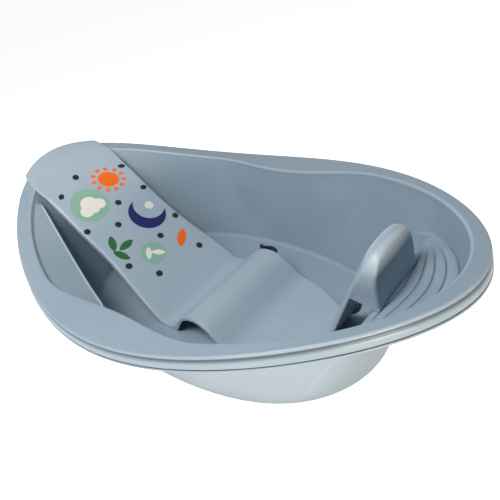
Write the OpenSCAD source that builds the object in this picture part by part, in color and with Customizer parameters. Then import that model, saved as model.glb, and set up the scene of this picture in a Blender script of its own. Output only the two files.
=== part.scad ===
// Baby bathtub: a thin moulded tub with a wave-shaped rim, a lift-out bath support and a drain plug.
// Millimetres, +Z up. The origin is on the floor below the middle; the head end is at -X, the foot end at +X.

/* [Rim] */
// Length over the outer edge of the rim
rim_length = 855; // [780:5:930]
// Width over the outer edge of the rim
rim_width = 542; // [500:2:590]
// How far the rim outline draws in towards the head end, where 0 is an ellipse
rim_draw_head = 0.085; // [0:0.005:0.2]
// How far the rim outline draws in towards the foot end
rim_draw_foot = 0.155; // [0:0.005:0.2]
// Height of the rim at the head end
rim_head = 255; // [240:1:275]
// Height of the rim a third of the way from the head end
rim_back = 166; // [155:1:180]
// Height of the rim a third of the way from the foot end
rim_front = 180; // [168:1:192]
// Height of the rim at the foot end
rim_foot = 215; // [203:1:230]
// Width of the flat flange at both ends
flange_end = 25; // [20:1:32]
// Width of the flat flange along the sides, away from the waist
flange_side = 33; // [25:1:40]
// How far the mouth outline draws in towards its ends
mouth_draw = 0.05; // [0:0.005:0.12]
// Radius of the edges of the flange
edge_r = 6; // [5:0.5:8]
// Depth of the skirt that hangs from the outer edge
skirt_drop = 22; // [16:1:30]
// How far the skirt leans out at its lower edge
skirt_flare = 2.5; // [0.5:0.5:5]
// Thickness of the moulded wall
wall = 3; // [2:0.25:3.75]

/* [Waist] */
// How far the side walls bulge into the mouth at the waist
waist_in = 27; // [10:1:35]
// Place of the waist along the tub
waist_x = 6; // [-30:1:40]
// Half length of the bulge at the mouth
waist_half = 180; // [140:5:210]
// Half length of the bulge where it runs out at the floor
waist_low_half = 80; // [60:5:120]

/* [Shelves] */
// Depth of the soap shelf below the flange
soap_drop = 9; // [9:1:16]
// How far the soap shelf falls towards its inner edge, where it is widest
soap_fall = 22; // [0:1:28]
// Greatest width of the soap shelf at the near head corner
soap_w = 52; // [40:1:60]
// Angle between the soap shelf's straight inner edge and the tub's length
soap_turn = 18.5; // [14:0.5:24]
// Radius of the shelves' inner edges, on the outer face of the wall
shelf_round = 1; // [0.5:0.25:2]
// Width of the ribbed shelf at the foot end, along the centre line
foot_shelf_w = 105; // [90:1:112]
// How far the front of the ribbed shelf lies below the rim
foot_shelf_drop = 65; // [54:1:73]
// How far the ribbed shelf climbs towards the rim
foot_shelf_rise = 25; // [0:1:32]
// How far the wall above the ribbed shelf leans in
foot_shelf_lean = 8; // [2:1:14]
// Number of ribs on the shelf at the foot end
rib_count = 5; // [3:1:6]
// Height of those ribs
rib_h = 3.5; // [1:0.5:4]

/* [Basin] */
// Length of the floor inside, over its rounded edge
base_length = 609; // [580:1:630]
// Width of the floor inside, over its rounded edge
base_width = 368; // [350:2:390]
// How far the floor lies towards the foot end
base_shift = -10; // [-20:1:10]
// How far the floor outline draws in towards its ends, where less than 0 is fuller than an ellipse
base_draw = -0.18; // [-0.25:0.01:0.05]
// Radius between floor and wall
base_r = 9; // [6:1:18]

/* [Feet] */
// Height of the rubber feet
foot_h = 4; // [3:0.5:8]
// Radius of the rubber feet
foot_r = 14; // [8:0.5:17]
// Distance of the feet from the middle of the floor, along the tub
foot_dx = 190; // [150:2:205]
// Distance of the feet from the middle of the floor, across the tub
foot_dy = 90; // [60:1:98]

/* [Drain] */
// Place of the drain along the tub
drain_x = -30; // [-60:1:20]
// Distance of the drain from the centre line, on the far side
drain_y = 145; // [140:1:147]
// Radius of the hole in the floor
drain_hole_r = 17; // [15:0.5:18]
// Radius of the bore of the drain ring
drain_bore_r = 13; // [10:0.5:14]
// Width of the ring's flange round the hole
drain_flange = 5; // [3:0.5:6]
// Thickness of the ring's flange
drain_flange_t = 2; // [1:0.25:3]
// Height of the domed cap of the plug
plug_cap_h = 4; // [3:0.5:6]
// Length of the grip tab on the plug
tab_l = 30; // [22:1:34]
// Height of the grip tab above the cap
tab_h = 14; // [8:1:20]
// Thickness of the grip tab
tab_t = 4; // [3:0.5:6]

/* [Support] */
// Thickness of the sheet of the support
sheet = 3; // [2:0.25:4]
// Half width of the back board
board_half = 90; // [75:1:95]
// Half width of the pan
pan_half = 104; // [95:1:108]
// Half width of the foot stop
stop_half = 53; // [48:1:62]
// How much narrower the foot stop is at its rounded top
stop_narrow = 16; // [6:1:20]
// Height over which the foot stop narrows
stop_round = 24; // [14:1:30]
// Depth of the end walls of the foot stop
stop_wall = 50; // [30:1:56]
// Depth of the turned-down edges
lip_depth = 11; // [8:1:16]
// Depth of the hook outside the rim at the head end
hook_drop = 15; // [8:1:20]
// How much wider the hook is on each side than the back board
hook_flare = 9; // [0:1:18]
// Length over which the hook widens
hook_run = 75; // [50:1:110]
// Radius of the hook's lower corners
hook_round = 14; // [6:1:18]
// Where the back board meets the floor
seat_x = -77; // [-95:1:-60]
// Length of the flat of the seat
seat_l = 30; // [28:1:40]
// Place of the knee ridge along the tub
ridge_x = 15; // [8:1:24]
// Height of the point of the knee ridge above the floor, before it is rounded
ridge_h = 60; // [50:1:70]
// Where the pan starts, behind the knee ridge
pan_x = 87; // [82:1:104]
// Where the pan turns up into the foot stop
stop_x = 214; // [206:1:222]
// Height of the foot stop above the ribbed shelf
stop_h = 68; // [55:1:75]
// Depth of the rounded top of the foot stop, along the tub
stop_top = 22; // [18:1:26]

/* [Hidden] */
$fn = 48;

// Clearance between pieces that come apart
gap = 0.4;
// Clearance of the ring in the floor's hole
ring_gap = 0.1;
// Clearance of the support over the rim, and of its hook outside the rim
rim_gap = 1.2;
hook_gap = 1.5;
// Points round the tub, and points on a rounded corner of the support
turn_steps = 72;
bend_steps = 5;
// Longest straight step along the support, and steps across it
sheet_step = 24;
cross_steps = 8;
// Share of a radius at the middle of a quarter round
mid_round = 1 - cos(45);
// Angles from the foot end between which the rows of points sink to the ribbed shelf
sink_from = 84;
sink_to = 42;
// Width below which a shelf melts into the wall, and the spacing of the rows of points there
shelf_melt = 14;
row_step = 1.5;
// Rows of points over the ribs, how fast the ribs fade where the shelf narrows, and rows down the wall
rib_rows = 2 * rib_count;
rib_fade = 2.5;
wall_rows = 3;
// Step from the rounded corner to the flat of the floor
flat_inset = 2;

half_length = rim_length / 2;
half_width = rim_width / 2;
mouth_length = half_length - flange_end;
mouth_width = half_width - flange_side;
floor_z = foot_h + wall;
shelf_r = wall + shelf_round;
shelf_z = rim_z(mouth_length) - foot_shelf_drop;
shelf_front = mouth_length - foot_shelf_w;
// Direction straight out of the soap shelf's inner edge, and how far that edge lies from the middle
soap_way = -[sin(soap_turn), cos(soap_turn)];
soap_edge = max([for (t = [180:3:270]) oval(t, mouth_length, mouth_width, mouth_draw) * soap_way]) - soap_w;

// The middle of the whole length, from the hook to the foot end, is put at x = 0
mid_x = (hook_gap + sheet) / 2;
module centred() {
  translate([mid_x, 0, 0])
    children();
}

// Small helpers
function unit(v) = v / norm(v);
function mix(a, b, f) = a + (b - a) * f;
function cap(v) = max(0, 1 - v * v);
function smooth(v) = let (c = min(1, max(0, v))) c * c * (3 - 2 * c);
function wrap(t) = t > 180 ? t - 360 : t;
function raised(p, z) = [p.x, p.y, z];

// Height of the rim over x: the cubic through the four rim heights
function rim_z(x) =
  let (u = x / half_length)
  9 / 16 * (u + 1 / 3) * (u - 1 / 3) * (rim_foot * (u + 1) - rim_head * (u - 1))
  + 27 / 16 * (u + 1) * (u - 1) * (rim_back * (u - 1 / 3) - rim_front * (u + 1 / 3));

// An oval that draws in towards its ends, the rim's outline, and the direction straight out of the tub
function oval(t, long, wide, draw) = [long * cos(t), wide * sin(t) * (1 - draw * cos(t) * cos(t))];
function rim_oval(t) = oval(t, half_length, half_width, cos(t) < 0 ? rim_draw_head : rim_draw_foot);
function outward(t) = unit([half_width * cos(t), half_length * sin(t)]);

// The bulge of the waist, as a step towards the centre line
function waist(p, depth, half) = [0, -sign(p.y) * depth * pow(cap((p.x - waist_x) / half), 2)];

// The sloping plane of the ribbed shelf, and the width of the shelves at a point of the mouth's edge
function shelf_plane(x) = shelf_z + foot_shelf_rise * (x - shelf_front) / foot_shelf_w;
function shelf_width(p, d) =
  max(
    d * soap_way > 0 ? (p * soap_way - soap_edge) / (d * soap_way) : 0,
    d.x > 0 ? (p.x - shelf_front) / d.x : 0
  );

// A point of the side wall, a share f of the way down from the mouth to the base
function wall_point(mouth, base, f, z) =
  let (p = mix(mouth, base, f))
  raised(p + waist(p, waist_in * (1 - f), mix(waist_half, waist_low_half, f)), z);

// The rows of points below the flange where the wall is plain, from high to low
function plain_rows(mouth, base, high, row_z, low) =
  let (end = row_z - (rib_rows + 2) * row_step)
  [
    for (k = [0:rib_rows + 2 + wall_rows])
      let (z = k < rib_rows + 2 ? row_z - k * row_step : mix(end, low, (k - rib_rows - 2) / (wall_rows + 1)))
      wall_point(mouth, base, (high - z) / (high - low), z)
  ];

// The same rows where a shelf stands out: over the shelf, round its edge and down the wall below it
function shelf_rows(edge, mouth, base, d, wide, soap_z, sink, low) =
  let (
    back = shelf_r / 2 + foot_shelf_lean * sink,
    lip = edge - d * max(wide, back + shelf_r + row_step),
    inner = lip - waist(lip, waist_in, waist_half),
    fall = soap_fall * min(1, max(0, wide / soap_w)),
    lip_z = mix(soap_z - fall, shelf_plane(lip.x), sink),
    rib = rib_h * smooth(rib_fade * wide / foot_shelf_w - 1)
  )
  concat(
    [
      for (k = [0:rib_rows])
        let (p = mix(edge - d * back, lip + d * shelf_r, k / rib_rows))
        raised(p, mix(soap_z - fall * k / rib_rows, shelf_plane(p.x) + (k % 2) * rib, sink))
    ],
    [raised(lip + d * shelf_r * mid_round, lip_z - shelf_r * mid_round)],
    [
      for (k = [0:wall_rows])
        let (f = k / (wall_rows + 1))
        wall_point(inner, base, f, mix(lip_z - shelf_r, low, f))
    ]
  );

// The section of the tub's inside at angle t, from the skirt's lower edge over the flange to the floor
function section(t) =
  let (
    d = outward(t),
    rim = rim_oval(t),
    mouth = oval(t, mouth_length, mouth_width, mouth_draw),
    base = oval(t, base_length / 2, base_width / 2, base_draw) + [base_shift, 0],
    edge = mouth + waist(mouth, waist_in, waist_half),
    rim_top = rim_z((rim - d * edge_r).x),
    edge_top = rim_z((edge + d * edge_r).x),
    high = edge_top - edge_r,
    low = floor_z + base_r,
    sink = smooth((sink_from - abs(wrap(t))) / (sink_from - sink_to)),
    wide = shelf_width(edge, d),
    soap_z = rim_z(mouth.x) - soap_drop,
    plain = plain_rows(mouth, base, high, mix(soap_z, shelf_plane(mouth.x), sink), low),
    shelf = shelf_rows(edge, mouth, base, d, wide, soap_z, sink, low)
  )
  concat(
    [
      raised(rim + d * skirt_flare, rim_top - skirt_drop),
      raised(rim, rim_top - edge_r),
      raised(rim - d * edge_r * mid_round, rim_top - edge_r * mid_round),
      raised(rim - d * edge_r, rim_top),
      raised(edge + d * edge_r, edge_top),
      raised(edge + d * edge_r * mid_round, edge_top - edge_r * mid_round),
      raised(edge, high)
    ],
    mix(plain, shelf, smooth(wide / shelf_melt)),
    [
      raised(base, low),
      raised(base - d * base_r * mid_round, floor_z + base_r * mid_round),
      raised(base - d * base_r, floor_z),
      raised(base - d * (base_r + flat_inset), floor_z)
    ]
  );

// The closed skin between a grid of points round the tub and the same grid moved out by the wall
module shell(grid) {
  n = len(grid);
  m = len(grid[0]);
  normals = [
    for (i = [0:n - 1])
      [
        for (j = [0:m - 1])
          unit(cross(
            grid[(i + 1) % n][j] - grid[(i + n - 1) % n][j],
            grid[i][min(j + 1, m - 1)] - grid[i][max(j - 1, 0)]
          ))
      ]
  ];
  inner = [for (i = [0:n - 1]) for (j = [0:m - 1]) grid[i][j]];
  outer = [for (i = [0:n - 1]) for (j = [0:m - 1]) grid[i][j] - wall * normals[i][j]];
  centre = [base_shift, 0, floor_z];
  points = concat(inner, outer, [centre, centre - [0, 0, wall]]);
  function at(i, j) = (i % n) * m + j;
  all = n * m;
  skin = [
    for (i = [0:n - 1])
      for (j = [0:m - 2])
        each [
          [at(i, j), at(i, j + 1), at(i + 1, j + 1)],
          [at(i, j), at(i + 1, j + 1), at(i + 1, j)],
          [all + at(i, j), all + at(i + 1, j + 1), all + at(i, j + 1)],
          [all + at(i, j), all + at(i + 1, j), all + at(i + 1, j + 1)]
        ]
  ];
  ends = [
    for (i = [0:n - 1])
      each [
        [at(i, 0), at(i + 1, 0), all + at(i + 1, 0)],
        [at(i, 0), all + at(i + 1, 0), all + at(i, 0)],
        [at(i, m - 1), 2 * all, at(i + 1, m - 1)],
        [all + at(i, m - 1), all + at(i + 1, m - 1), 2 * all + 1]
      ]
  ];
  polyhedron(points = points, faces = concat(skin, ends), convexity = 6);
}

module tub_shell() {
  color([0.65, 0.73, 0.80])
    difference() {
      centred()
        shell([for (i = [0:turn_steps - 1]) section(i * 360 / turn_steps)]);
      at_drain()
        translate([0, 0, foot_h - wall])
          cylinder(r = drain_hole_r, h = 3 * wall);
    }
}

// A rounded corner of a path at b, between a and c
function bend(a, b, c, r) =
  let (
    u = unit(a - b),
    v = unit(c - b),
    half = acos(u * v) / 2,
    turn = 180 - 2 * half,
    centre = b + unit(u + v) * r / sin(half),
    p = b + u * r / tan(half) - centre,
    q = b + v * r / tan(half) - centre
  )
  [
    for (k = [0:bend_steps])
      let (f = k / bend_steps)
      centre + (p * sin(turn * (1 - f)) + q * sin(turn * f)) / sin(turn)
  ];

// A path through corners, rounded by radii, with its long stretches cut into shorter steps
function rounded(corners, radii) =
  let (last = len(corners) - 1)
  concat(
    [corners[0]],
    [for (k = [1:last - 1]) each bend(corners[k - 1], corners[k], corners[k + 1], radii[k - 1])],
    [corners[last]]
  );
function stepped(path) =
  concat(
    [
      for (k = [0:len(path) - 2])
        let (parts = ceil(norm(path[k + 1] - path[k]) / sheet_step))
        each [for (s = [0:parts - 1]) mix(path[k], path[k + 1], s / parts)]
    ],
    [path[len(path) - 1]]
  );

// The underside of the support along the centre line, as x and z from the hook to the foot stop
lip_min = 1;
stop_neck = 30;
lip_start = 20;
lip_run = 60;
follow_run = (mouth_length + seat_x) / 2;
sheet_round = 0.8;
under_round = 0.08;
lip_levels = [1, 0.4];
stop_lean = 4;
hook_x = -half_length - skirt_flare - hook_gap;
hook_z = rim_z(hook_x) + rim_gap + lip_min;
rest_z = floor_z + gap + lip_min;
stop_z = shelf_z + stop_h;
stop_back = shelf_front + stop_top;
stop_end = stop_back + stop_lean;
stop_low = shelf_plane(stop_end + sheet) + rib_h + gap;
// Radii at the hook, the head edge, the seat's two ends, the ridge, the pan's two ends and the stop's top
path_radii = [5, 40, 30, 24, 34, 40, 60, 12, 8];
path = stepped(rounded(
  [
    [hook_x, hook_z - hook_drop],
    [hook_x, hook_z],
    [-mouth_length, rim_z(-mouth_length) + rim_gap + lip_min],
    [seat_x, rest_z],
    [seat_x + seat_l, rest_z],
    [ridge_x, rest_z + ridge_h],
    [pan_x, rest_z],
    [stop_x, rest_z],
    [shelf_front, stop_z],
    [stop_back, stop_z],
    [stop_end, stop_low]
  ],
  path_radii
));

// Half width of the support at a point of the path
function quarter_round(v) = let (c = min(1, max(0, v))) 1 - sqrt(1 - c * c);
function support_half(p) =
  let (from_end = p.x - hook_x + min(hook_drop, max(0, p.y - hook_z + hook_drop)))
  board_half + (pan_half - board_half) * smooth((p.x - ridge_x) / (pan_x - ridge_x))
  - (pan_half - stop_half) * smooth((p.x - pan_x) / (stop_x + stop_neck - pan_x))
  + hook_flare * smooth(1 - from_end / hook_run) - hook_round * quarter_round(1 - from_end / hook_round);

// How far the sheet draws in at height z towards the rounded top of the foot stop, as a share of its width
function crown(x, z) =
  x < stop_x ? 1 : 1 - stop_narrow / stop_half * quarter_round(1 - (stop_z + sheet - z) / stop_round);

// Depth and direction of its turned-down edges. At the foot stop they are end walls, which hang down
// from its top and reach forward from its back, up to a seam that runs down from the back bend
stop_foot = stop_z - stop_wall;
stop_bend = path_radii[8];
seam_x = stop_back - stop_bend * tan(atan2(stop_z - stop_low, stop_lean) / 2);
seam_z = stop_z - stop_bend;
seam_top = shelf_front + path_radii[7] * tan(atan2(stop_z - rest_z, shelf_front - stop_x) / 2);
seam_slope = (seam_z - stop_foot) / (seam_x - seam_top);
function goes_down(along) = along.y < -0.01;
function lip(p, along) =
  let (
    edge = min(lip_depth * smooth((p.x + mouth_length - lip_start) / lip_run), p.y - floor_z - gap),
    hang = min(p.y - stop_foot, p.y - seam_z + max(0, seam_x - p.x) * seam_slope - gap),
    reach = p.x - seam_x + (seam_z - p.y) / seam_slope - gap,
    back = p.y > seam_z ? stop_bend - gap : p.y > stop_foot ? reach : lip_min
  )
  max(lip_min, p.x < stop_x ? edge : goes_down(along) ? back : hang);
function lip_way(p, along) =
  unit(mix([along.y, -along.x], [0, -1], goes_down(along) ? 0 : smooth((p.x - stop_x) / stop_neck)));

// Sine of the angle at which the head end of the rim's outline lies y from the centre line
function rim_sine(y, s = 0, pass = 6) =
  pass == 0 ? s : rim_sine(y, y / (half_width * (1 - rim_draw_head * (1 - s * s))), pass - 1);

// How the support's head end follows the rim's outline and height: shifts of x and z at distance y
function follow(x, y) =
  let (
    share = 1 - smooth((x + mouth_length) / follow_run),
    sine = rim_sine(y),
    back = share * half_length * (1 - sqrt(1 - sine * sine))
  )
  [back, share * (rim_z(x + back) - rim_z(x))];

// One face of the sheet across its width, as distances across and above the underside: up one turned-down
// edge, over the top and down the other
function sheet_face(half, deep, top, r) =
  let (
    left = concat(
      [for (f = lip_levels) [-half, -deep * f]],
      [[-half, top - r], [-half + r * mid_round, top - r * mid_round]]
    ),
    last = len(left) - 1
  )
  concat(
    left,
    [for (k = [0:cross_steps]) [mix(r - half, half - r, k / cross_steps), top]],
    [for (k = [last:-1:0]) [-left[k].x, left[k].y]]
  );

module bath_support() {
  last = len(path) - 1;
  rings = [
    for (k = [0:last])
      let (
        along = unit(path[min(k + 1, last)] - path[max(k - 1, 0)]),
        up = [-along.y, along.x],
        way = lip_way(path[k], along),
        half = support_half(path[k]),
        deep = lip(path[k], along),
        under = sheet_face(half - sheet, deep, 0, sheet * under_round),
        ring = concat(
          sheet_face(half, deep, sheet, sheet * sheet_round),
          [for (j = [len(under) - 1:-1:0]) under[j]]
        )
      )
      [
        for (q = ring)
          let (
            p = path[k] + (q.y < 0 ? -way : up) * q.y,
            across = q.x * crown(path[k].x, p.y),
            shift = follow(path[k].x, across)
          )
          [p.x + shift.x, across, p.y + shift.y]
      ]
  ];
  size = len(rings[0]);
  function at(k, j) = k * size + j % size;
  sides = [
    for (k = [0:last - 1])
      for (j = [0:size - 1])
        each [
          [at(k, j), at(k, j + 1), at(k + 1, j + 1)],
          [at(k, j), at(k + 1, j + 1), at(k + 1, j)]
        ]
  ];
  function cap_faces(k) = [
    for (j = [0:size / 2 - 2])
      each [
        [at(k, j), at(k, size - 1 - j), at(k, size - 2 - j)],
        [at(k, j), at(k, size - 2 - j), at(k, j + 1)]
      ]
  ];
  function flipped(faces) = [for (f = faces) [f[0], f[2], f[1]]];
  color([0.62, 0.69, 0.75])
    centred()
      polyhedron(
        points = [for (ring = rings) each ring],
        faces = concat(sides, cap_faces(0), flipped(cap_faces(last))),
        convexity = 8
      );
}

// The drain: a flanged ring through the floor, and a plug that drops into it
ring_top = floor_z + drain_flange_t;
cap_z = ring_top + gap;
seal_room = 1.6;
plug_stem_r = drain_bore_r - seal_room;
stem_low = foot_h - wall / 2;
seal_h = 2;
seal_z = floor_z - seal_h;
seal_in = 1;
chamfer = 1;

module at_drain() {
  translate([mid_x + drain_x, drain_y, 0])
    children();
}

module drain_ring() {
  shank_r = drain_hole_r - ring_gap;
  flange_r = drain_hole_r + drain_flange;
  color([0.05, 0.06, 0.30])
    at_drain()
      rotate_extrude()
        polygon([
          [drain_bore_r, stem_low], [shank_r, stem_low], [shank_r, floor_z], [flange_r, floor_z],
          [flange_r, ring_top - chamfer], [flange_r - chamfer, ring_top], [drain_bore_r, ring_top]
        ]);
}

module drain_plug() {
  cap_r = drain_hole_r + drain_flange / 2;
  groove_r = plug_stem_r - seal_in;
  top = cap_z + plug_cap_h;
  color([0.03, 0.04, 0.32])
    at_drain() {
      rotate_extrude()
        polygon([
          [0, stem_low], [plug_stem_r - chamfer, stem_low], [plug_stem_r, stem_low + chamfer],
          [plug_stem_r, seal_z], [groove_r, seal_z], [groove_r, seal_z + seal_h],
          [plug_stem_r, seal_z + seal_h], [plug_stem_r, cap_z], [cap_r, cap_z],
          [cap_r, cap_z + plug_cap_h / 2], [cap_r - chamfer, top - chamfer / 2],
          [cap_r - 3 * chamfer, top], [0, top]
        ]);
      translate([0, tab_t / 2, top])
        rotate([90, 0, 0])
          linear_extrude(tab_t)
            difference() {
              union() {
                for (side = [-1, 1])
                  translate([side * tab_l / 4, tab_h - tab_l / 4])
                    circle(r = tab_l / 4);
                translate([-tab_l / 2, -plug_cap_h / 2])
                  square([tab_l, tab_h - tab_l / 4 + plug_cap_h / 2]);
              }
              translate([-tab_l, -tab_l - plug_cap_h / 4])
                square([2 * tab_l, tab_l]);
            }
    }
}

module plug_seal() {
  color([0.10, 0.11, 0.14])
    at_drain()
      translate([0, 0, seal_z])
        rotate_extrude()
          polygon([
            [plug_stem_r - seal_in, 0], [plug_stem_r, 0], [drain_bore_r - gap, seal_h / 2],
            [plug_stem_r, seal_h], [plug_stem_r - seal_in, seal_h]
          ]);
}

// A rubber foot under the floor
module rubber_foot(along, across) {
  chamfer = foot_h * 0.3;
  color([0.20, 0.21, 0.23])
    translate([mid_x + base_shift + along * foot_dx, across * foot_dy, 0])
      rotate_extrude()
        polygon([[0, 0], [foot_r - chamfer, 0], [foot_r, chamfer], [foot_r, foot_h], [0, foot_h]]);
}
module foot_head_near() { rubber_foot(-1, -1); }
module foot_head_far() { rubber_foot(-1, 1); }
module foot_foot_near() { rubber_foot(1, -1); }
module foot_foot_far() { rubber_foot(1, 1); }

tub_shell();
bath_support();
drain_ring();
drain_plug();
plug_seal();
foot_head_near();
foot_head_far();
foot_foot_near();
foot_foot_far();
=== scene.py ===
import math

import bmesh
import bpy
import numpy as np
from mathutils import Matrix, Vector


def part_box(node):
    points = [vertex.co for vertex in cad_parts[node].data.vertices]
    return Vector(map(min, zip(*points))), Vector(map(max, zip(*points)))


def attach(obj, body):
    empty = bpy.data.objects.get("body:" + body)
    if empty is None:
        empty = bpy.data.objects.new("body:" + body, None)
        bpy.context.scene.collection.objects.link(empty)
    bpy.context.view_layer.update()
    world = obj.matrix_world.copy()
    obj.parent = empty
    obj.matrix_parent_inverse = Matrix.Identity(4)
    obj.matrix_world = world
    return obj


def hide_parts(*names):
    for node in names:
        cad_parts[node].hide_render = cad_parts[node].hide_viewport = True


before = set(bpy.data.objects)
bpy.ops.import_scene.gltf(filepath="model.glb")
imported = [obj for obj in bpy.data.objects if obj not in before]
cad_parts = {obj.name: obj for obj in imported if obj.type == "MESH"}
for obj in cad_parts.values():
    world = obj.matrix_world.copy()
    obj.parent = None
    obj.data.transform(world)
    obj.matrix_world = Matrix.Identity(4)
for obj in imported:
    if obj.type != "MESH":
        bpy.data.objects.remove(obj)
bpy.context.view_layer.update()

# Tub shell: one thin polypropylene injection moulding, satin and pale grey-blue. A flat flange runs
# round its wave-shaped rim and a skirt hangs from it. The inside has a waist in each side wall, a
# soap shelf at the near head corner and a ribbed shelf at the foot end.
tub_skin = 0.003
rim_long, rim_wide = 0.4275, 0.271
rim_draw_head, rim_draw_foot = 0.085, 0.155
rim_head, rim_back, rim_front, rim_foot = 0.255, 0.166, 0.180, 0.215
mouth_long, mouth_wide, mouth_draw = rim_long - 0.025, rim_wide - 0.033, 0.05
edge_round = 0.006
skirt_drop, skirt_flare = 0.022, 0.0025
groove_up, groove_half, groove_deep = 0.0030, 0.0010, 0.0013
# crease_painted_shade is the share of painted shade, a darker colour, in the hollow under the bead.
bead_round, crease_up, crease_half, crease_deep, crease_painted_shade = 0.0034, 0.0158, 0.0030, 0.0018, 0.74
# edge_painted_highlight is the strength of a painted highlight, a paler colour, along the flange's inner
# edge.
edge_painted_highlight = 0.45
waist_in, waist_at, waist_half, waist_low_half = 0.027, 0.006, 0.180, 0.080
waist_power, waist_low_power, waist_plain = 2.0, 1.05, 3.0
soap_drop, soap_fall, soap_wide, soap_turn = 0.009, 0.022, 0.052, math.radians(18.5)
foot_shelf_wide, foot_shelf_drop, foot_shelf_rise, foot_shelf_lean = 0.105, 0.065, 0.025, 0.008
foot_shelf_nose = 0.015
rib_count, rib_high, rib_power, rib_spread = 5, 0.0035, 0.35, 2.5
shelf_round, shelf_least, shelf_melt, melt_drop = 0.004, 0.0015, 0.014, 0.015
sink_from, sink_to = math.radians(84), math.radians(42)
base_long, base_wide, base_shift, base_draw, base_round = 0.3045, 0.184, -0.010, -0.18, 0.009
floor_z = 0.007
drain_x, drain_y, drain_hole = -0.030, 0.145, 0.017
hook_gap, sheet_thick = 0.0015, 0.003
mid_x = (hook_gap + sheet_thick) / 2
tub_turns = 320


def mix(a, b, f):
    """Goes straight from a to b as f goes from 0 to 1."""
    return a + (b - a) * f


def smooth(v):
    """Eases from 0 to 1: 3 c^2 - 2 c^3 of v held between 0 and 1."""
    c = np.clip(v, 0, 1)
    return c * c * (3 - 2 * c)


def cap(v):
    """A parabola 1 - v^2, and 0 where that is below 0."""
    return np.maximum(0, 1 - v * v)


def raised(plan, z):
    """Puts points of the plan at heights z."""
    z = np.broadcast_to(np.asarray(z, float), plan.shape[:-1])
    return np.concatenate([plan, z[..., None]], -1)


def rim_height(x):
    """The cubic in x through the rim's heights at the head end, both thirds and the foot end."""
    u = x / rim_long
    ends = 9 / 16 * (u + 1 / 3) * (u - 1 / 3) * (rim_foot * (u + 1) - rim_head * (u - 1))
    thirds = 27 / 16 * (u + 1) * (u - 1) * (rim_back * (u - 1 / 3) - rim_front * (u + 1 / 3))
    return ends + thirds


def oval(turn, long, wide, draw):
    """An oval drawn in towards its ends: (long cos t, wide sin t (1 - draw cos^2 t))."""
    return np.stack([long * np.cos(turn), wide * np.sin(turn) * (1 - draw * np.cos(turn) ** 2)], -1)


def waist(plan, depth, half, power=waist_power):
    """The waist's step towards the centre line: depth times a power of cap((x - waist_at) / half)."""
    step = -np.sign(plan[..., 1]) * depth * cap((plan[..., 0] - waist_at) / half) ** power
    return np.stack([np.zeros_like(step), step], -1)


def shelf_plane(x):
    """Height of the sloping plane under the ribs of the foot shelf."""
    return rim_height(mouth_long) - foot_shelf_drop + foot_shelf_rise * (
        (x - mouth_long) / foot_shelf_wide + 1
    )


def wall_points(mouth, base, f, z):
    """The side wall at a share f of the way down: straight from mouth to base, and in by the waist,
    whose edge is plainer lower down."""
    plan = mix(mouth, base, f[..., None])
    half = mix(waist_half, waist_low_half, f)
    power = mix(waist_power, waist_low_power, smooth(waist_plain * f))
    return raised(plan + waist(plan, waist_in * (1 - f), half, power), z)


def chord_width(beyond, slant):
    """Width of a shelf with a straight inner edge: how far the mouth lies beyond that edge, divided
    by the cosine between the edge's normal and the direction out of the tub."""
    least = 0.05
    return np.where(slant > least, beyond / np.maximum(slant, least), 0)


def quarter(steps, first=0):
    """Angles over a quarter round, as a row."""
    return np.linspace(0, math.pi / 2, steps + 1)[None, first:]


def quarter_round(side, way, top, radius, a, fall=1):
    """A quarter round from an upright side at angle 0 to a level top at 90 degrees: the plan is
    side + way r (1 - cos a), at the height top - fall r (1 - sin a)."""
    step = (radius * (1 - np.cos(a)))[..., None]
    return raised(side + way * step, top - fall * radius * (1 - np.sin(a)))


def groove(rise):
    """The narrow groove along the skirt at a rise above its lower edge: exp(-((rise - up) / half)^4)."""
    return np.exp(-(((rise - groove_up) / groove_half) ** 4))


def crease(rise):
    """The soft hollow under the flange's bead: exp(-((rise - up) / half)^2)."""
    return np.exp(-(((rise - crease_up) / crease_half) ** 2))


def skirt_rows():
    """Rises of the skirt's rows above its lower edge, close together at the groove and the hollow."""
    low, between, soft_from = [0, 0.0007], [0.0060, 0.0080], 0.0100
    close = groove_up + groove_half * np.linspace(-1.5, 1.5, 11)
    soft = np.linspace(soft_from, skirt_drop - bead_round, 14)
    return np.concatenate([low, close, between, soft])[None, :]


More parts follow.
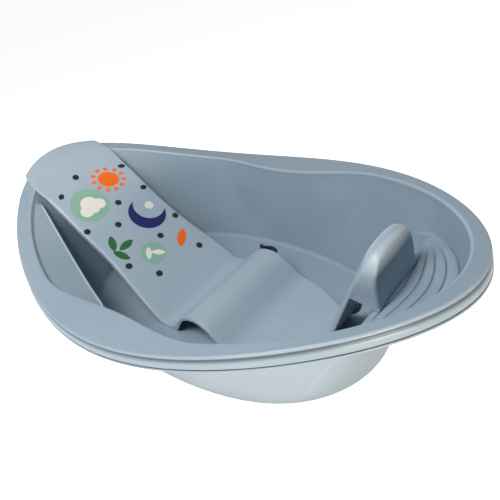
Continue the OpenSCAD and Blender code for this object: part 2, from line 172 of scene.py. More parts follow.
def tub_surface(turns, relief=1.0):
    """The tub's upper surface, one section for each turn t round its middle: up the skirt, over the
    flange, down the wall or over a shelf, and along the floor to the drain's hole. Where a shelf is
    narrow its rows ease into those of the plain wall. Relief is the share of the skirt's hollows.
    Also gives a mark for each point: up to 1 for painted shade in the skirt's groove and hollow, and down
    to -1 for a painted highlight on the flange's inner edge and the soap shelf's lip."""
    t = np.linspace(-math.pi, math.pi, turns, endpoint=False)[:, None]
    d = np.stack([rim_wide * np.cos(t), rim_long * np.sin(t)], -1)
    d /= np.linalg.norm(d, axis=-1, keepdims=True)
    rim = oval(t, rim_long, rim_wide, np.where(np.cos(t) < 0, rim_draw_head, rim_draw_foot))
    mouth = oval(t, mouth_long, mouth_wide, mouth_draw)
    base = oval(t, base_long, base_wide, base_draw) + [base_shift, 0]
    edge = mouth + waist(mouth, waist_in, waist_half)
    rim_top = rim_height((rim - d * bead_round)[..., 0])
    edge_top = rim_height((edge + d * edge_round)[..., 0])
    high, low = edge_top - edge_round, floor_z + base_round

    rise = skirt_rows()
    out = skirt_flare * (1 - rise / (skirt_drop - bead_round))
    out = out - relief * (groove_deep * groove(rise) + crease_deep * crease(rise))
    skirt = raised(rim + d * out[..., None], rim_top - skirt_drop + rise)
    outer_round = quarter_round(rim, -d, rim_top, bead_round, quarter(8, 1))
    f = np.linspace(0, 1, 8)[None, 1:-1]
    flange = mix(rim - d * bead_round, edge + d * edge_round, f[..., None])
    flange = raised(flange, mix(rim_top, edge_top, f))
    a_inner = quarter(8)[:, ::-1]
    inner_round = quarter_round(edge, d, edge_top, edge_round, a_inner)

    rib_rows, lip_rows, wall_rows = 12 * rib_count, 6, 12
    sink = smooth((sink_from - np.abs(t)) / (sink_from - sink_to))
    soap_way = -np.array([math.sin(soap_turn), math.cos(soap_turn)])
    soap_edge = (mouth @ soap_way).max() - soap_wide
    soap = chord_width(edge @ soap_way - soap_edge, d @ soap_way)
    foot_edge = mouth_long - foot_shelf_wide + foot_shelf_nose
    wide = np.maximum(soap, chord_width(edge[..., 0] - foot_edge, d[..., 0]))
    soap_z = rim_height(mouth[..., 0]) - soap_drop

    row_z = mix(soap_z, shelf_plane(mouth[..., 0]), sink)
    near = np.linspace(0, 1, rib_rows + lip_rows + 2)[None, :-1]
    down = np.linspace(0, 1, wall_rows + 1)[None, :-1]
    z = np.concatenate([row_z - melt_drop * near, mix(row_z - melt_drop, low, down)], 1)
    plain = wall_points(mouth, base, (high - z) / (high - low), z)

    back = shelf_round / 2 + foot_shelf_lean * sink
    lip = edge - d * np.maximum(wide, back + shelf_round + shelf_least)[..., None]
    inner = lip - waist(lip, waist_in, waist_half)
    fall = soap_fall * np.clip(wide / soap_wide, 0, 1)
    lip_z = mix(soap_z - fall, shelf_plane(lip[..., 0]), sink)
    f = np.linspace(0, 1, rib_rows + 1)[None, :]
    tread = mix(edge - d * back[..., None], lip + d * shelf_round, f[..., None])
    ribs = rib_high * np.abs(np.sin(math.pi * rib_count * f)) ** rib_power
    ribs = ribs * smooth(rib_spread * wide / foot_shelf_wide - 1)
    tread = raised(tread, mix(soap_z - fall * f, shelf_plane(tread[..., 0]) + ribs, sink))
    nose = quarter_round(lip, d, lip_z, shelf_round, quarter(lip_rows + 1)[:, -2:0:-1])
    f = np.broadcast_to(down, (turns, wall_rows))
    below = wall_points(inner, base, f, mix(lip_z - shelf_round, low, down))
    wall = mix(plain, np.concatenate([tread, nose, below], 1), smooth(wide / shelf_melt)[..., None])

    upper_shares = np.array([0.2, 0.4, 0.6, 0.8, 0.92, 0.97])[None, :, None]
    upper = mix(inner_round[:, -1:], wall[:, :1], upper_shares)
    cove = quarter_round(base, -d, floor_z, base_round, quarter(8), fall=-1)
    start = cove[:, -1:, :2]
    drain = np.array([drain_x, drain_y])
    away = start - drain
    hole = drain + drain_hole * away / np.linalg.norm(away, axis=-1, keepdims=True)
    floor_shares = np.array([0.02, 0.08, 0.2, 0.4, 0.6, 0.8, 0.92, 0.98, 1])[None, :, None]
    floor = raised(mix(start, hole, floor_shares), floor_z)

    rows = [skirt, outer_round, flange, inner_round, upper, wall, cove, floor]
    marks = [np.zeros(part.shape[:2]) for part in rows]
    skirt_mark, inner_mark, wall_mark = marks[0], marks[3], marks[5]
    # Painted shade: the skirt's groove and the hollow under the bead get a darker colour.
    skirt_mark += groove(rise) + crease_painted_shade * crease(rise)
    # Painted highlight: the flange's inner edge gets a paler colour.
    inner_mark -= edge_painted_highlight * np.sin(2 * a_inner) ** 3
    over_lip = np.sin(np.linspace(0, math.pi, lip_rows + 2))
    # Painted highlight: the soap shelf's lip gets a paler colour where the shelf is wide.
    wall_mark[:, rib_rows - 1:rib_rows + lip_rows + 1] -= smooth(wide / shelf_melt) * (1 - sink) * over_lip
    return np.concatenate(rows, 1) + [mid_x, 0, 0], np.concatenate(marks, 1)


def skinned(grid, plain, thick):
    """A closed skin: the grid, and the plain grid moved back along its normals by the thickness."""
    across = np.roll(plain, -1, 0) - np.roll(plain, 1, 0)
    along = np.gradient(plain, axis=1)
    normal = np.cross(across, along)
    normal /= np.linalg.norm(normal, axis=-1, keepdims=True)
    return np.concatenate([grid, (plain - thick * normal)[:, ::-1]], 1)


def quads(rows, columns, ring_rows=False, ring_columns=False):
    """Corner numbers of the quads between neighbours of a grid, closed into rings where asked."""
    index = np.arange(rows * columns).reshape(rows, columns)
    index = np.concatenate([index, index[:1]]) if ring_rows else index
    index = np.concatenate([index, index[:, :1]], 1) if ring_columns else index
    corners = [index[:-1, :-1], index[:-1, 1:], index[1:, 1:], index[1:, :-1]]
    return np.stack(corners, -1).reshape(-1, 4)


def piece(name, points, faces, finish, mark=None, chart=None):
    """A smooth mesh object of points and quads, sharp where its faces turn by more than an angle. A
    mark is one number a point, kept as an attribute, and a chart is two, kept as a UV map."""
    sharp = math.radians(35)
    mesh = bpy.data.meshes.new(name)
    mesh.from_pydata(points.reshape(-1, 3).tolist(), [], faces.tolist())
    if mark is not None:
        kept = mesh.attributes.new("mark", "FLOAT", "POINT")
        kept.data.foreach_set("value", mark.astype(np.float32).ravel())
    if chart is not None:
        corners = chart.reshape(-1, 2)[faces.ravel()]
        mesh.uv_layers.new(name="chart").data.foreach_set("uv", corners.astype(np.float32).ravel())
    mesh.shade_smooth()
    mesh.set_sharp_from_angle(angle=sharp)
    mesh.materials.append(finish.material)
    made = bpy.data.objects.new(name, mesh)
    bpy.context.scene.collection.objects.link(made)
    return made


class Flow:
    """An output socket. Python's operators on it add Math nodes."""

    def __init__(self, nodes, socket):
        self.nodes, self.socket = nodes, socket

    def math(self, operation, *others, clamp=False):
        """A Math node with this socket first."""
        settings = {"operation": operation, "use_clamp": clamp}
        return self.nodes.node("ShaderNodeMath", settings, dict(enumerate((self, *others))))

    def turned(self, operation, other):
        """A Math node with this socket second."""
        settings = {"operation": operation}
        return self.nodes.node("ShaderNodeMath", settings, {0: other, 1: self})

    def __add__(self, other):
        return self.math("ADD", other)

    def __sub__(self, other):
        return self.math("SUBTRACT", other)

    def __mul__(self, other):
        return self.math("MULTIPLY", other)

    def __truediv__(self, other):
        return self.math("DIVIDE", other)

    def __rsub__(self, other):
        return self.turned("SUBTRACT", other)

    def __neg__(self):
        return self.math("MULTIPLY", -1)

    __radd__ = __add__
    __rmul__ = __mul__

    def held(self):
        """Kept between 0 and 1."""
        return self.math("ADD", 0, clamp=True)

    def most(self, other):
        return self.math("MAXIMUM", other)

    def least(self, other):
        return self.math("MINIMUM", other)


class Nodes:
    """The nodes of a finish or of the surround."""

    def __init__(self, tree):
        self.tree = tree

    def node(self, kind, settings=None, sockets=None, out=0):
        """Any node: its settings first, then its sockets' values or links. Gives one output."""
        made = self.tree.nodes.new(kind)
        for key, value in (settings or {}).items():
            setattr(made, key, value)
        for key, value in (sockets or {}).items():
            self.join(made.inputs[key], value)
        return Flow(self, made.outputs[out])

    def join(self, socket, value):
        """Links a socket, or sets it to a number or colour."""
        if isinstance(value, Flow):
            self.tree.links.new(value.socket, socket)
        else:
            socket.default_value = value

    def seen(self):
        """1 for the rays that show the background: from the camera, a reflection or through glass."""
        rays = [self.node("ShaderNodeLightPath", out=kind) for kind in (
            "Is Camera Ray", "Is Glossy Ray", "Is Transmission Ray",
        )]
        return rays[0].most(rays[1]).most(rays[2])


class Finish(Nodes):
    """A node-based finish round one Principled surface."""

    def __init__(self, name, **constants):
        self.material = bpy.data.materials.new(name)
        self.material.use_nodes = True
        super().__init__(self.material.node_tree)
        self.surface = self.tree.nodes["Principled BSDF"]
        for key, value in constants.items():
            self.surface.inputs[key.replace("_", " ")].default_value = value
        self.place = self.node("ShaderNodeTexCoord", out="Object")

    def feed(self, **sockets):
        """Links what varies over the surface to sockets of the Principled node."""
        for key, value in sockets.items():
            self.join(self.surface.inputs[key.replace("_", " ")], value)

    def noise(self, scale, detail):
        """Cloudy noise of 0 to 1 over the piece, with a scale for each metre."""
        sockets = {"Vector": self.place, "Scale": scale, "Detail": detail}
        return self.node("ShaderNodeTexNoise", {}, sockets, "Fac")

    def blend(self, a, b, share):
        """A colour from a to b as the share goes from 0 to 1."""
        return self.node("ShaderNodeMix", {"data_type": "RGBA"}, {0: share, 6: a, 7: b}, 2)

    def relief(self, height, distance, strength):
        """Raises the surface by a height of 0 to 1 times the distance."""
        sockets = {"Height": height, "Distance": distance, "Strength": strength}
        self.feed(Normal=self.node("ShaderNodeBump", {}, sockets))


def tint(red, green, blue):
    """A shader colour from the 0 to 255 values of a picture."""
    v = np.array([red, green, blue]) / 255
    v = np.where(v <= 0.04045, v / 12.92, ((v + 0.055) / 1.055) ** 2.4)
    return (*v.tolist(), 1.0)


def moulded(finish, pale, deep):
    """Satin moulded plastic: a slow drift of tone, a fine moulded grain and uneven gloss."""
    drift = finish.noise(7.0, 3.0)
    grain = finish.noise(1400.0, 2.0)
    ripple = finish.noise(160.0, 1.0)
    grain_deep, grain_strength = 0.00006, 0.6
    finish.feed(Roughness=0.27 + 0.12 * drift + 0.06 * grain)
    finish.relief(grain + 0.8 * ripple, grain_deep, grain_strength)
    return finish.blend(deep, pale, (drift * 1.6 - 0.3).held())


tub_finish = Finish("tub_plastic", IOR=1.49, Specular_IOR_Level=0.3)
tub_pale, tub_deep = tint(148, 166, 180), tint(139, 158, 173)
# Painted light: tub_painted_shade darkens the skirt's groove and bead hollow, and tub_painted_highlight
# lightens the flange's inner edge and the soap shelf's lip.
tub_painted_highlight, tub_painted_shade = tint(186, 204, 216), tint(26, 37, 52)
tub_painted_light = tub_finish.node("ShaderNodeAttribute", {"attribute_name": "mark"}, out="Fac")
tub_shade = moulded(tub_finish, tub_pale, tub_deep)
# Painted highlight where the mark is below 0.
tub_shade = tub_finish.blend(tub_shade, tub_painted_highlight, (-tub_painted_light).held())
# Painted shade where the mark is above 0.
tub_shade = tub_finish.blend(tub_shade, tub_painted_shade, tub_painted_light.held())
tub_finish.feed(Base_Color=tub_shade)
tub_upper, upper_mark = tub_surface(tub_turns)
tub_plain, plain_mark = tub_surface(tub_turns, relief=0.0)
tub_grid = skinned(tub_upper, tub_plain, tub_skin)
tub_mark = np.concatenate([upper_mark, np.zeros_like(plain_mark)], 1)
tub_faces = quads(*tub_grid.shape[:2], ring_rows=True, ring_columns=True)
tub = piece("tub_shell_skin", tub_grid, tub_faces, tub_finish, mark=tub_mark)
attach(tub, "tub")
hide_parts("tub_shell")

# Drain ring: a round flanged ring, moulded in navy plastic and pressed into the floor's hole. Its
# flange lies on the floor and its bore takes the plug.
ring_bore, ring_flange, ring_high = 0.013, 0.022, 0.002
ring_low, ring_clear, ring_bevel = 0.0025, 0.0001, 0.0008
drain_turns = 96


def turned_piece(name, profile, at, turns, finish):
    """A profile of radius and height turned round an upright axis. It is closed into a loop, unless it
    starts and ends on the axis, where its points are merged into poles."""
    t = np.linspace(0, 2 * math.pi, turns, endpoint=False)[:, None]
    r, z = np.asarray(profile, float).T
    plan = np.stack([at[0] + r * np.cos(t), at[1] + r * np.sin(t)], -1)
    points = raised(plan, z)
    on_axis = r[0] == 0
    faces = quads(turns, len(z), ring_rows=True, ring_columns=not on_axis)
    made = piece(name, points, faces, finish)
    shape = bmesh.new()
    shape.from_mesh(made.data)
    bmesh.ops.remove_doubles(shape, verts=shape.verts, dist=1e-7)
    shape.to_mesh(made.data)
    shape.free()
    return made


def rounded(points, radius, steps=4):
    """A closed profile with each corner cut by a curve: quadratic, from radius before to radius after."""
    p = np.asarray(points, float)
    before, after = np.roll(p, 1, 0) - p, np.roll(p, -1, 0) - p
    reach = np.stack([np.linalg.norm(before, axis=1), np.linalg.norm(after, axis=1)], 1)
    most = 0.45
    r = np.minimum(radius, reach.min(1) * most)[:, None]
    a, b = p + before / reach[:, :1] * r, p + after / reach[:, 1:] * r
    f = np.linspace(0, 1, steps + 1)[None, :, None]
    curve = a[:, None] * (1 - f) ** 2 + 2 * p[:, None] * f * (1 - f) + b[:, None] * f ** 2
    return curve.reshape(-1, 2)


drain_at = (mid_x + drain_x, drain_y)
ring_top = floor_z + ring_high
shank = drain_hole - ring_clear
drain_finish = Finish("drain_plastic", IOR=1.5, Specular_IOR_Level=0.5)
drain_pale, drain_deep = tint(16, 20, 92), tint(9, 12, 74)
drain_finish.feed(Base_Color=moulded(drain_finish, drain_pale, drain_deep))
ring_outline = [
    (ring_bore, ring_top), (ring_flange, ring_top), (ring_flange, floor_z),
    (shank, floor_z), (shank, ring_low), (ring_bore, ring_low),
]
ring_outline = rounded(ring_outline, ring_bevel)[::-1]
ring = turned_piece("drain_ring_skin", ring_outline, drain_at, drain_turns, drain_finish)
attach(ring, "tub")
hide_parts("drain_ring")

# Rubber feet: four grey rubber discs, moulded with softened edges and glued under the floor. They
# lift the shell off the ground and keep it from sliding.
foot_high, foot_round, foot_bevel, foot_turns = 0.004, 0.014, 0.0008, 64
foot_deep, foot_pale = tint(66, 68, 72), tint(92, 94, 98)
speck_deep, speck_strength = 0.0001, 0.8
rubber = Finish("foot_rubber", Specular_IOR_Level=0.3)
speck = rubber.noise(700.0, 3.0)
rubber.feed(Base_Color=rubber.blend(foot_deep, foot_pale, speck), Roughness=0.62 + 0.2 * speck)
rubber.relief(speck, speck_deep, speck_strength)
foot_box = [(0.0, 0.0), (foot_round, 0.0), (foot_round, foot_high), (0.0, foot_high)]
foot_edge = rounded(foot_box, foot_bevel).reshape(len(foot_box), -1, 2)[1:3].reshape(-1, 2)
foot_outline = np.concatenate([foot_box[:1], foot_edge, foot_box[3:]])
for foot_name in ("foot_head_near", "foot_head_far", "foot_foot_near", "foot_foot_far"):
    foot_low, foot_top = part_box(foot_name)
    foot_at = ((foot_low[0] + foot_top[0]) / 2, (foot_low[1] + foot_top[1]) / 2)
    foot = turned_piece(foot_name + "_pad", foot_outline, foot_at, foot_turns, rubber)
    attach(foot, "tub")
    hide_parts(foot_name)

# Drain plug: a navy plastic stopper with a domed cap and an upright grip tab of two lobes, moulded in
# one. Its stem drops into the ring, and a groove in the stem holds the seal.
plug_stem, plug_groove, plug_cap, plug_cap_high = 0.0114, 0.0104, 0.0195, 0.004
plug_clear, plug_low, plug_bevel, seal_high = 0.0004, ring_low, 0.001, 0.002
dome_in, dome_from, dome_flat, dome_crown = 0.18, 0.45, 0.4, 0.0001
tab_long, tab_high, tab_thick, tab_sunk = 0.030, 0.014, 0.004, 0.001
tab_end_thin, tab_end_power = 0.02, 6
cap_z = ring_top + plug_clear
cap_top = cap_z + plug_cap_high
seal_z = floor_z - seal_high


def domed(rim, low, high, steps=8):
    """A cap's outline: up its side, then a quarter ellipse to the middle of its top."""
    a = np.linspace(0, math.pi / 2, steps)
    across = rim * (1 - dome_in * (1 - np.cos(a)))
    dome = np.stack([across, mix(mix(low, high, dome_from), high, np.sin(a))], -1)
    crown = [(rim * dome_flat, high + dome_crown), (0.0, high + dome_crown)]
    return np.concatenate([[(rim, low)], dome, crown])


plug_outline = np.concatenate([
    [(0.0, plug_low), (plug_stem - plug_bevel, plug_low), (plug_stem, plug_low + plug_bevel)],
    [(plug_stem, seal_z), (plug_groove, seal_z), (plug_groove, floor_z), (plug_stem, floor_z)],
    [(plug_stem, cap_z)], domed(plug_cap, cap_z, cap_top),
])
plug = turned_piece("drain_plug_skin", plug_outline, drain_at, drain_turns, drain_finish)


def tab_points(along_steps=48, round_steps=8):
    """The grip tab: at each place along it a plate with a round top, as high as the two lobes there,
    z = high - long/4 + sqrt((long/4)^2 - (|x| - long/4)^2), and thin towards both ends."""
    x = np.linspace(-1, 1, along_steps)[:, None] * tab_long / 2
    lobe = tab_long / 4
    high = tab_high - lobe + np.sqrt(np.maximum(0, lobe ** 2 - (np.abs(x) - lobe) ** 2))
    ends = np.abs(2 * x / tab_long) ** tab_end_power
    half = tab_thick / 2 * np.sqrt(np.maximum(tab_end_thin, 1 - ends))
    a = np.linspace(0, math.pi, 2 * round_steps + 1)[None, :]
    root = 0 * half - tab_sunk
    y = np.concatenate([-half, -half * np.cos(a), half], 1)
    z = np.concatenate([root, high - half * (1 - np.sin(a)), root], 1)
    return np.stack([drain_at[0] + np.broadcast_to(x, y.shape), drain_at[1] + y, cap_top + z], -1)


tab_grid = tab_points()
tab_rows, tab_columns = tab_grid.shape[:2]
tab_strip = np.arange(tab_columns // 2)
tab_back = tab_columns - 1 - tab_strip
tab_end = np.stack([tab_strip, tab_back, tab_back - 1, tab_strip + 1], -1)[:-1]
tab_faces = np.concatenate([
    quads(tab_rows, tab_columns, ring_columns=True),
    tab_end, tab_end[:, ::-1] + (tab_rows - 1) * tab_columns,
])
tab = piece("drain_plug_tab", tab_grid, tab_faces, drain_finish)
for plug_part in (plug, tab):
    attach(plug_part, "plug")
    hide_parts("drain_plug")

# Plug seal: a soft dark rubber ring, moulded and stretched over the stem into its groove. It closes
# the gap between the plug and the drain ring.
seal_in, seal_out, seal_bevel = plug_groove, 0.0126, 0.0006
seal_deep, seal_pale = tint(24, 26, 32), tint(44, 46, 54)
seal_finish = Finish("seal_rubber", Specular_IOR_Level=0.3)
seal_speck = seal_finish.noise(900.0, 2.0)
seal_shade = seal_finish.blend(seal_deep, seal_pale, seal_speck)
seal_finish.feed(Base_Color=seal_shade, Roughness=0.6 + 0.2 * seal_speck)
seal_outline = [(seal_in, seal_z), (seal_out, seal_z), (seal_out, floor_z), (seal_in, floor_z)]
seal_outline = rounded(seal_outline, seal_bevel)
seal = turned_piece("plug_seal_skin", seal_outline, drain_at, drain_turns, seal_finish)
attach(seal, "plug")
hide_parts("plug_seal")

# Bath support: a second thin polypropylene moulding, a little paler, which lifts out. It hooks over
# the head rim and lies on the floor, with a printed back board, a seat, a knee ridge, a pan and a
# foot stop that reaches over the ribbed shelf.
board_half, pan_half, stop_half = 0.090, 0.108, 0.053
stop_narrow, stop_round, stop_wall = 0.022, 0.040, 0.058
stop_front, stop_arch, arch_level = 0.009, 0.012, 0.5
stop_corner, corner_run, corner_end = 0.009, 0.060, 0.014
front_lip, front_run = 0.014, 0.040
lip_deep, lip_least, lip_start, lip_run = 0.007, 0.001, 0.020, 0.060
knee_lip, knee_run = 0.003, 0.030
hook_drop, hook_flare, hook_run, hook_round = 0.015, 0.006, 0.075, 0.045
seat_at, seat_long, ridge_at, ridge_high = -0.077, 0.030, 0.015, 0.069
pan_at, stop_at, stop_high = 0.087, 0.214, 0.076
stop_top, stop_lean, stop_neck = 0.022, 0.004, 0.030
rim_clear, rest_clear = 0.0012, 0.0004
sheet_edge, board_edge, sheet_inner = 0.0024, 0.0052, 0.0006
seat_wide, seat_run = 0.016, 0.150
shelf_front = mouth_long - foot_shelf_wide
shelf_low = rim_height(mouth_long) - foot_shelf_drop
hook_at = -rim_long - skirt_flare - hook_gap
hook_z = rim_height(hook_at) + rim_clear + lip_least
rest_z = floor_z + rest_clear + lip_least
stop_z = shelf_low + stop_high
stop_back = shelf_front + stop_top
stop_end = stop_back + stop_lean
stop_low = shelf_plane(stop_end + sheet_thick) + rib_high + rest_clear
support_corners = [
    (hook_at, hook_z - hook_drop), (hook_at, hook_z),
    (-mouth_long, rim_height(-mouth_long) + rim_clear + lip_least),
    (seat_at, rest_z), (seat_at + seat_long, rest_z), (ridge_at, rest_z + ridge_high),
    (pan_at, rest_z), (stop_at, rest_z), (shelf_front + stop_front, stop_z), (stop_back, stop_z),
    (stop_end, stop_low),
]
support_radii = [0.005, 0.040, 0.030, 0.030, 0.050, 0.050, 0.060, 0.012, 0.005]
front_bend, stop_bend = support_radii[-2:]
seam_lap, seam_over, seam_inset, seam_least = 0.0005, 0.0015, 0.00005, 0.004
wall_from, wall_clear, goes_down = 0.285, 0.001, -0.01
support_step, stop_step, stop_run = 0.0025, 0.001, 0.120
edge_rows, edge_crowd, bend_rows, across_rows = 15, 0.6, 5, 33


def bend(a, b, c, radius, steps=16):
    """A circular corner at b between a and c, as points from one tangent to the other."""
    u, v = (a - b) / np.linalg.norm(a - b), (c - b) / np.linalg.norm(c - b)
    half = math.acos(float(u @ v)) / 2
    sweep = math.pi - 2 * half
    middle = b + (u + v) / np.linalg.norm(u + v) * radius / math.sin(half)
    p, q = b + u * radius / math.tan(half) - middle, b + v * radius / math.tan(half) - middle
    f = np.linspace(0, 1, steps + 1)[:, None]
    return middle + (p * np.sin(sweep * (1 - f)) + q * np.sin(sweep * f)) / math.sin(sweep)


def support_path():
    """The underside along the centre line as x and z: its corners rounded, then evenly stepped, and
    more finely over the foot stop."""
    c = np.array(support_corners)
    bends = [bend(c[k], c[k + 1], c[k + 2], r) for k, r in enumerate(support_radii)]
    path = np.concatenate([c[:1], *bends, c[-1:]])
    run = np.concatenate([[0], np.cumsum(np.linalg.norm(np.diff(path, axis=0), axis=1))])
    fine = run[-1] - stop_run
    stop = np.linspace(fine, run[-1], int(stop_run / stop_step))
    even = np.concatenate([np.arange(0, fine, support_step), stop])
    return np.stack([np.interp(even, run, path[:, 0]), np.interp(even, run, path[:, 1])], -1), even


def rounding(v):
    """How far a quarter circle of radius 1 goes_down back at v of its height: 1 - sqrt(1 - v^2)."""
    return 1 - np.sqrt(1 - np.clip(v, 0, 1) ** 2)


def support_width(x, z):
    """Half width along the path: round and flared at the hook's end, the board's, out to the seat's
    and the pan's, and in to the stop's."""
    from_end = x - hook_at + np.clip(z - hook_z + hook_drop, 0, hook_drop)
    return (
        board_half + seat_wide * smooth((x - seat_at) / seat_run + 1)
        + (pan_half - board_half - seat_wide) * smooth((x - ridge_at) / (pan_at - ridge_at))
        - (pan_half - stop_half) * smooth((x - pan_at) / (stop_at + stop_neck - pan_at))
        + hook_flare * smooth(1 - from_end / hook_run) - hook_round * rounding(1 - from_end / hook_round)
    )


def edge_chain(half, top, radius, deep):
    """One face of the sheet across its width: up a turned-down edge, over and down the other."""
    f = np.linspace(0, 1, edge_rows) ** edge_crowd
    a = quarter(bend_rows, 1)[0]
    g = np.linspace(0, 1, across_rows)[1:]
    left = [
        np.stack([-half + 0 * f, mix(-deep, top - radius, f)], -1),
        np.stack([-half + radius * (1 - np.cos(a)), top - radius * (1 - np.sin(a)) + 0 * half], -1),
    ]
    over = np.stack([mix(-half + radius, half - radius, g), top + 0 * g + 0 * half], -1)
    right = [part[:, ::-1] * [-1, 1] for part in left[::-1]]
    return np.concatenate([*left, over, right[0][:, 1:], right[1]], 1)


def rim_follow(x, y):
    """How the head end follows the rim: shifts of x and z at a distance y from the centre line. The
    sine s of the rim's angle at y solves s = y / (rim_wide (1 - draw (1 - s^2))), in six passes."""
    share = 1 - smooth((x + mouth_long) / ((mouth_long + seat_at) / 2))
    s = np.zeros_like(y)
    for _ in range(6):
        s = y / (rim_wide * (1 - rim_draw_head * (1 - s * s)))
    back = share * rim_long * (1 - np.sqrt(1 - s * s))
    return back, share * (rim_height(x + back) - rim_height(x))


path, path_run = support_path()
along = np.gradient(path, axis=0)
along /= np.linalg.norm(along, axis=1, keepdims=True)
px, pz = path[:, :1], path[:, 1:]

# The sheet's edges turn down, less over the knee ridge and hardly at the hook, and clear the floor.
over_knee = smooth((pz - rest_z) / knee_run) * (np.abs(px - ridge_at) < ridge_at - seat_at)
edge_lip = mix(lip_deep, knee_lip, over_knee) * smooth((px + mouth_long - lip_start) / lip_run)
edge_lip = np.minimum(edge_lip, pz - floor_z - rest_clear)

# The stop's end walls hang down from its top and reach forward from its back, up to a seam that runs
# down from the middle of the back bend. Their lower edge falls towards the back.
wall_foot = stop_z - stop_wall
stop_slope = math.atan2(stop_z - rest_z, shelf_front + stop_front - stop_at)
seam_x = stop_back - stop_bend * math.tan(math.atan2(stop_z - stop_low, stop_lean) / 2)
seam_z = stop_z - stop_bend
seam_top = shelf_front + stop_front + front_bend * math.tan(stop_slope / 2)
seam_slope = (seam_z - wall_foot) / max(seam_x - seam_top, seam_least)
turned_back = (along[:, 1:] < goes_down) & (px > seam_x)
wall_fall = wall_foot - stop_low - wall_clear
wall_line = wall_foot - wall_fall * np.clip((px - wall_from) / (stop_back - wall_from), 0, 1)
from_top = np.minimum(pz - wall_line, pz - seam_z + np.maximum(0, seam_x + seam_over - px) * seam_slope)
slope_lip = mix(lip_deep, front_lip, smooth((px - stop_at) / front_run))
from_top = np.maximum(from_top, np.minimum(slope_lip, pz - floor_z - rest_clear))
seam_line = seam_x - np.maximum(0, seam_z - pz) / seam_slope
wall_end = wall_from + (wall_foot - pz) / wall_fall * (stop_back - wall_from)
reach = px - np.maximum(seam_line, wall_end) + seam_lap
from_back = np.where(pz > seam_z, stop_bend + seam_lap, reach)
end_lip = np.where(turned_back, from_back, from_top)
lip_depth = np.maximum(lip_least, np.where(px < stop_at, edge_lip, end_lip))

# The edges go down square to the sheet, and straight down at the stop's end walls.
square_down = np.stack([along[:, 1], -along[:, 0]], -1)
hanging = np.where(turned_back, 0, smooth((px - stop_at) / stop_neck))
lip_way = mix(square_down, np.array([0.0, -1.0]), hanging)
lip_way /= np.linalg.norm(lip_way, axis=1, keepdims=True)

# Across the path the sheet is a closed ring: its upper face with rounded bends, and its lower face.
support_half = support_width(px, pz) - seam_inset * turned_back
stop_share = smooth((px - stop_at) / corner_run) * smooth((seam_x - px) / corner_end) * (1 - turned_back)
edge_radius = board_edge + stop_corner * stop_share
edge_radius = np.minimum(edge_radius, lip_depth + sheet_edge - lip_least)
under_radius = np.maximum(sheet_inner, edge_radius - sheet_thick)
face_up = edge_chain(support_half, sheet_thick, edge_radius, lip_depth)
face_down = edge_chain(support_half - sheet_thick, 0.0, under_radius, lip_depth)
ring_across = np.concatenate([face_up, face_down[:, ::-1]], 1)
side, above = ring_across[..., 0], ring_across[..., 1]

# The ring is set on the path, drawn in towards the stop's top, and moved to follow the rim.
square_up = np.stack([-along[:, 1], along[:, 0]], -1)[:, None]
flat = path[:, None] + square_up * np.maximum(above, 0)[..., None]
flat = flat + lip_way[:, None] * np.maximum(-above, 0)[..., None]
crown = rounding(1 - (stop_z + sheet_thick - flat[..., 1]) / stop_round) * (px > stop_at)
side = side * (1 - stop_narrow / stop_half * crown)
shift_x, shift_z = rim_follow(px, side)

# The stop's crest is a shallow arch from end to end.
arch_share = smooth((flat[..., 1] - wall_foot) / stop_wall) * (px > stop_at)
shift_z = shift_z + stop_arch * arch_share * (cap(side / stop_half) - arch_level)
support_grid = np.stack([flat[..., 0] + shift_x + mid_x, side, flat[..., 1] + shift_z], -1)

rows, columns = support_grid.shape[:2]
strip = np.arange(columns // 2 - 1)
end_cap = np.stack([strip, strip + 1, columns - 2 - strip, columns - 1 - strip], -1)
support_faces = np.concatenate([
    quads(rows, columns, ring_columns=True)[:, ::-1],
    end_cap, (end_cap + (rows - 1) * columns)[:, ::-1],
])

support_finish = Finish("support_plastic", IOR=1.49, Specular_IOR_Level=0.3)
support_pale, support_deep = tint(167, 183, 196), tint(158, 175, 189)
support_shade = moulded(support_finish, support_pale, support_deep)

# The board's print, laid out on its chart: across from the near to the far side, and along from the
# hook, in metres. A sun, a cloud on a disc, a moon, leaves and scattered dots.
chart = support_finish.node("ShaderNodeUVMap", {"uv_map": "chart"})
orange, sage, cream = tint(240, 108, 22), tint(136, 178, 160), tint(232, 228, 222)
navy, green, black = tint(8, 13, 88), tint(32, 96, 46), tint(7, 7, 9)
ink_edge = 0.0005
sun_at, sun_round = (0.036, 0.138), 0.0205
ray_count, ray_hard, ray_thin, ray_from, ray_to = 11, 4, 0.2, 1.2, 1.66
leaf_places = [(-0.062, 0.262, 0.5), (-0.044, 0.280, 1.5), (-0.066, 0.292, -0.4)]
sprig_places = [(-0.024, 0.321, 0.7), (-0.008, 0.331, 2.3)]
dot_round = 0.0068
dot_places = [
    (-0.066, 0.112), (-0.012, 0.098), (0.078, 0.118), (-0.080, 0.212), (0.012, 0.196), (0.078, 0.196),
    (-0.024, 0.236), (0.080, 0.290), (-0.072, 0.318), (0.022, 0.306), (-0.040, 0.366), (0.066, 0.372),
]


def from_point(across, run):
    """Distance on the chart from a point."""
    sockets = {0: chart, 1: (across, run, 0.0)}
    return support_finish.node("ShaderNodeVectorMath", {"operation": "DISTANCE"}, sockets, "Value")


def disc(across, run, radius):
    """A filled circle with a fine soft edge: 1 inside and 0 outside."""
    return ((radius - from_point(across, run)) / ink_edge).held()


def leaf(across, run, angle, long, wide):
    """A leaf pointed at both ends, where two circles of equal radius cross."""
    radius = (long ** 2 + wide ** 2) / (4 * wide)
    off = radius - wide / 2
    step = (off * math.cos(angle), off * math.sin(angle))
    one, other = (disc(across + way * step[0], run + way * step[1], radius) for way in (1, -1))
    return one.least(other)


def joined(shapes):
    """Shapes of one colour, as one."""
    whole = shapes[0]
    for shape in shapes[1:]:
        whole = whole.most(shape)
    return whole


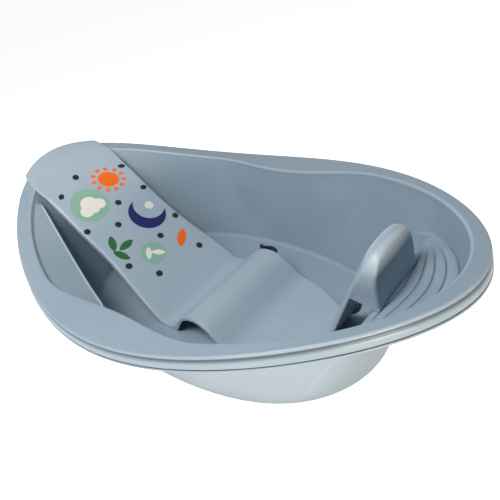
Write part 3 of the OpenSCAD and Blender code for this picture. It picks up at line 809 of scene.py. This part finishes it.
sun_across = support_finish.node("ShaderNodeSeparateXYZ", {}, {0: chart}, 0)
sun_along = support_finish.node("ShaderNodeSeparateXYZ", {}, {0: chart}, 1)
sun_angle = (sun_along - sun_at[1]).math("ARCTAN2", sun_across - sun_at[0])
sun_ray = ((sun_angle * ray_count).math("COSINE") * ray_hard - ray_thin).held()
sun_ray = sun_ray.least(disc(*sun_at, sun_round * ray_to)).least(1 - disc(*sun_at, sun_round * ray_from))
cloud = [
    disc(-0.050, 0.175, 0.0135), disc(-0.035, 0.165, 0.0185), disc(-0.018, 0.175, 0.0125),
    disc(-0.034, 0.178, 0.0115),
]
moon = disc(0.040, 0.250, 0.0380).least(1 - disc(0.055, 0.238, 0.0320))
prints = [
    (orange, [disc(*sun_at, sun_round), sun_ray]),
    (sage, [disc(-0.036, 0.166, 0.0400)]),
    (cream, cloud),
    (navy, [moon]),
    (cream, [disc(0.056, 0.238, 0.0095)]),
    *[(green, [leaf(*place, 0.036, 0.0155)]) for place in leaf_places],
    (sage, [disc(-0.016, 0.326, 0.0250)]),
    *[(cream, [leaf(*place, 0.029, 0.0120)]) for place in sprig_places],
    (orange, [leaf(0.052, 0.336, 0.9, 0.046, 0.0190)]),
    (black, [disc(*place, dot_round) for place in dot_places]),
]
for colour, shapes in prints:
    support_shade = support_finish.blend(support_shade, colour, joined(shapes))
support_finish.feed(Base_Color=support_shade)

under = np.arange(columns)[None, :] >= columns // 2
support_chart = np.stack([side + under, np.broadcast_to(path_run[:, None], side.shape)], -1)
support = piece("bath_support_skin", support_grid, support_faces, support_finish, chart=support_chart)
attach(support, "support")
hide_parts("bath_support")

# Studio: a plain pale floor that runs out of view, which the tub stands on, and a surround that looks
# white and gives a little cool light. Square soft lamps stand round the tub.
stage_half, stage_drop = 30.0, 0.0002
floor_glow = (0.92, 0.92, 0.92, 1.0)
floor_finish = Finish("studio_floor", Roughness=0.9, Specular_IOR_Level=0.0, Emission_Strength=1.0)
floor_finish.feed(Base_Color=tint(250, 250, 250))
floor_finish.feed(Emission_Color=floor_finish.blend((0.0, 0.0, 0.0, 1.0), floor_glow, floor_finish.seen()))
floor_points = np.array([[-1, -1, 0], [1, -1, 0], [1, 1, 0], [-1, 1, 0]]) * stage_half - [0, 0, stage_drop]
floor = piece("studio_floor", floor_points, np.array([[0, 1, 2, 3]]), floor_finish)


def lamp(name, place, aim, size, power, colour):
    """A square soft lamp that faces its aim."""
    data = bpy.data.lights.new(name, "AREA")
    data.size, data.energy, data.color = size, power, colour
    made = bpy.data.objects.new(name, data)
    bpy.context.scene.collection.objects.link(made)
    made.location = place
    made.rotation_euler = (Vector(aim) - Vector(place)).to_track_quat("-Z", "Y").to_euler()


lamp("lamp_key", (0.11, -0.62, 1.25), (0.05, -0.05, 0.12), 0.45, 11.4, (1.0, 0.985, 0.96))
lamp("lamp_near", (-0.25, -1.00, 0.95), (0, -0.05, 0.12), 0.5, 2.2, (1.0, 0.995, 0.98))
lamp("lamp_top", (0.05, -0.32, 1.40), (0, -0.05, 0.12), 0.5, 2.8, (0.97, 0.99, 1.0))
lamp("lamp_low", (1.68, -1.12, 0.11), (0.05, -0.1, 0.06), 0.5, 45.0, (1.0, 0.84, 0.675))
lamp("lamp_back", (-1.05, 0.85, 0.015), (0, 0.15, 0.10), 0.05, 10.0, (1.0, 0.98, 0.95))

world = bpy.data.worlds.new("studio")
bpy.context.scene.world = world
world.use_nodes = True
surround = Nodes(world.node_tree)
surround.tree.nodes.remove(surround.tree.nodes["Background"])
sky = surround.node("ShaderNodeBackground", {}, {"Color": (0.45, 0.75, 1.0, 1.0), "Strength": 0.06})
white = surround.node("ShaderNodeBackground", {}, {"Color": (1.0, 1.0, 1.0, 1.0), "Strength": 1.0})
sky_or_white = surround.node("ShaderNodeMixShader", {}, {0: surround.seen(), 1: sky, 2: white})
surround.join(surround.tree.nodes["World Output"].inputs["Surface"], sky_or_white)
bpy.context.scene.view_settings.view_transform = "Standard"

# Camera: a plain lens without blur, at the photograph's place and viewing angle. It is rolled about
# its own axis, as the picture is.
camera_at = Vector((0.54785, -0.4369, 0.5736))
camera_turn, camera_lift, camera_roll = (math.radians(v) for v in (46.89, 33.87, 14.20))
lens_back = Vector((
    math.sin(camera_turn) * math.cos(camera_lift),
    -math.cos(camera_turn) * math.cos(camera_lift),
    math.sin(camera_lift),
))
level = Vector((math.cos(camera_turn), math.sin(camera_turn), 0))
upward = lens_back.cross(level)
lens_x = math.cos(camera_roll) * level - math.sin(camera_roll) * upward
lens_y = math.sin(camera_roll) * level + math.cos(camera_roll) * upward
camera_data = bpy.data.cameras.new("camera")
camera_data.sensor_width, camera_data.lens, camera_data.clip_start = 36.0, 35.27, 0.01
camera = bpy.data.objects.new("camera", camera_data)
bpy.context.scene.collection.objects.link(camera)
camera.matrix_world = Matrix((lens_x, lens_y, lens_back)).transposed().to_4x4()
camera.location = camera_at
bpy.context.scene.camera = camera
